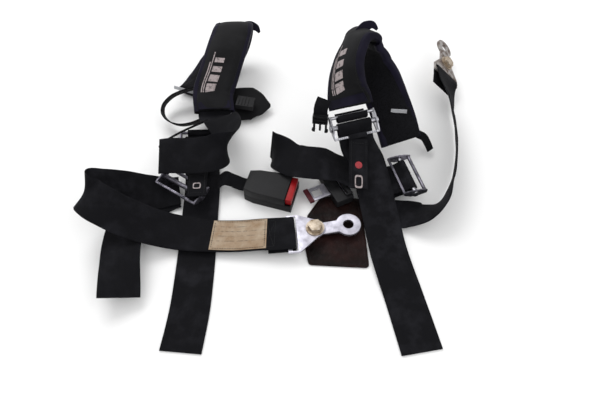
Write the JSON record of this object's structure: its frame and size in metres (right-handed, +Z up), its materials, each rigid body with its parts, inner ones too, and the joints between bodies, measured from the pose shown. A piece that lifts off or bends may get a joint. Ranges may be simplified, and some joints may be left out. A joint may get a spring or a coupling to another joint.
{
  "type": "racing harness",
  "caption": "Webbing seat harness laid out unlatched in two halves, with padded shoulder straps, slide-bar adjusters, lap belts, push-button buckle and tongue, and bolted eye anchors.",
  "frame": {"origin": "on the floor under the middle of the whole harness's box", "axes": "+X towards the right half, +Y from the loose tails towards the shoulder pads, +Z up"},
  "size_m": [0.5541, 0.5525, 0.1736],
  "materials": {
    "pad_fabric": "matte woven nylon",
    "pad_mesh": "matte spacer mesh",
    "webbing": "ribbed polyester weave",
    "thin_cloth": "thin coated nylon",
    "grey_tape": "satin tape",
    "label_cloth": "worn printed cloth",
    "chrome_frame": "polished, lightly scratched",
    "plated_steel": "satin zinc plate",
    "worn_steel": "worn, light rust",
    "zinc_gold": "yellow passivated zinc",
    "black_plastic": "fine moulded grain",
    "red_plastic": "satin gloss",
    "maroon_plastic": "satin",
    "white_plastic": "satin",
    "brown_leather": "worn, cracked"
  },
  "bodies": {
    "left_half": {"left_shoulder_pad_outer": "pad_fabric", "left_shoulder_pad_inner": "pad_mesh", "left_pad_webbing": "webbing", "left_pad_hem": "grey_tape", "left_adjuster_tie": "webbing", "left_shoulder_slide_bar": "chrome_frame", "left_shoulder_webbing": "webbing", "left_lap_slide_bar": "chrome_frame", "left_lap_webbing": "webbing", "left_lap_tail": "webbing", "sewn_label": "label_cloth", "left_anchor_plate": "plated_steel", "left_anchor_bolt": "zinc_gold", "left_anchor_washer": "zinc_gold", "left_anchor_nut": "zinc_gold", "buckle_strap": "webbing", "buckle_top_cover": "black_plastic", "buckle_bottom_cover": "black_plastic", "buckle_frame": "plated_steel", "pawl_pin": "plated_steel", "button_spring": "plated_steel", "ejector_spring": "plated_steel", "buckle_screws": "plated_steel", "left_chest_strap": "thin_cloth", "chest_clip_socket": "black_plastic", "left_pad_loop": "webbing", "left_thin_strap": "webbing"},
    "left_shoulder_adjuster": {"left_shoulder_adjuster": "chrome_frame"},
    "left_pull_tab": {"left_pull_tab": "webbing"},
    "left_lap_adjuster": {"left_lap_adjuster": "chrome_frame"},
    "left_anchor_link": {"left_anchor_link": "plated_steel"},
    "release_button": {"release_button": "red_plastic"},
    "latch_pawl": {"latch_pawl": "plated_steel"},
    "ejector": {"ejector": "white_plastic"},
    "right_half": {"right_shoulder_pad_outer": "pad_fabric", "right_shoulder_pad_inner": "pad_mesh", "right_pad_webbing": "webbing", "right_pad_hem": "grey_tape", "right_pad_tail": "webbing", "right_adjuster_tie": "webbing", "right_shoulder_slide_bar": "chrome_frame", "right_shoulder_webbing": "webbing", "right_lap_slide_bar": "chrome_frame", "right_lap_webbing": "webbing", "right_lap_tail": "webbing", "right_anchor_plate": "worn_steel", "right_anchor_bolt": "zinc_gold", "right_anchor_washer": "zinc_gold", "right_anchor_nut": "zinc_gold", "tongue_plate": "plated_steel", "tongue_tip": "maroon_plastic", "tongue_cover": "black_plastic", "right_chest_strap": "webbing", "chest_clip_prongs": "black_plastic", "buckle_flap": "brown_leather"},
    "right_shoulder_adjuster": {"right_shoulder_adjuster": "chrome_frame"},
    "right_pull_tab": {"right_pull_tab": "webbing"},
    "right_lap_adjuster": {"right_lap_adjuster": "chrome_frame"},
    "right_anchor_link": {"right_anchor_link": "worn_steel"}
  },
  "joints": [
    {"name": "halves_apart", "type": "slide", "parent": "left_half", "child": "right_half", "axis": [1, 0, 0], "range_m": [0, 0.12]},
    {"name": "left_shoulder_adjuster_tilt", "type": "hinge", "parent": "left_half", "child": "left_shoulder_adjuster", "pos_m": [-0.137, 0.0492, 0.02], "axis": [-0.9994, -0.0349, 0], "range_deg": [0, 3]},
    {"name": "left_pull_tab_lift", "type": "hinge", "parent": "left_shoulder_adjuster", "child": "left_pull_tab", "pos_m": [-0.13623, 0.02709, 0.02106], "axis": [-0.9994, -0.0349, 0], "range_deg": [0, 2]},
    {"name": "left_lap_adjuster_tilt", "type": "hinge", "parent": "left_half", "child": "left_lap_adjuster", "pos_m": [-0.154, -0.0398, 0.02], "axis": [-0.8613, 0.4973, 0.1045], "range_deg": [0, 8]},
    {"name": "left_anchor_swivel", "type": "hinge", "parent": "left_half", "child": "left_anchor_link", "pos_m": [0.031, -0.1088, 0.015], "axis": [0, 0, 1], "range_deg": [-30, 12]},
    {"name": "button_press", "type": "slide", "parent": "left_half", "child": "release_button", "axis": [-0.9703, 0.2419, 0], "range_m": [0, 0.004], "stiffness_N_per_m": 900, "springref_m": -0.003, "deforming": ["button_spring"]},
    {"name": "pawl_lift", "type": "hinge", "parent": "left_half", "child": "latch_pawl", "pos_m": [-0.04071, -0.03761, 0.0164], "axis": [-0.2419, -0.9703, 0], "range_deg": [0, 10]},
    {"name": "ejector_push", "type": "slide", "parent": "left_half", "child": "ejector", "axis": [-0.9703, 0.2419, 0], "range_m": [0, 0.008], "stiffness_N_per_m": 300, "springref_m": -0.004, "deforming": ["ejector_spring"]},
    {"name": "right_shoulder_adjuster_tilt", "type": "hinge", "parent": "right_half", "child": "right_shoulder_adjuster", "pos_m": [0.087, 0.0292, 0.072], "axis": [-0.9563, -0.2924, 0], "range_deg": [0, 10]},
    {"name": "right_pull_tab_lift", "type": "hinge", "parent": "right_shoulder_adjuster", "child": "right_pull_tab", "pos_m": [0.09281, 0.0102, 0.0622], "axis": [-0.9563, -0.2924, 0], "range_deg": [0, 60]},
    {"name": "right_lap_adjuster_tilt", "type": "hinge", "parent": "right_half", "child": "right_lap_adjuster", "pos_m": [0.163, -0.0238, 0.024], "axis": [-0.2419, 0.9703, 0], "range_deg": [0, 8]},
    {"name": "right_anchor_swivel", "type": "hinge", "parent": "right_half", "child": "right_anchor_link", "pos_m": [0.257, 0.2122, 0.034], "axis": [0.633, -0.1116, 0.766], "range_deg": [-30, 30]}
  ],
  "couplings": [
    {"joint": "pawl_lift", "follows": "button_press", "rad_per_m": 43.6}
  ]
}
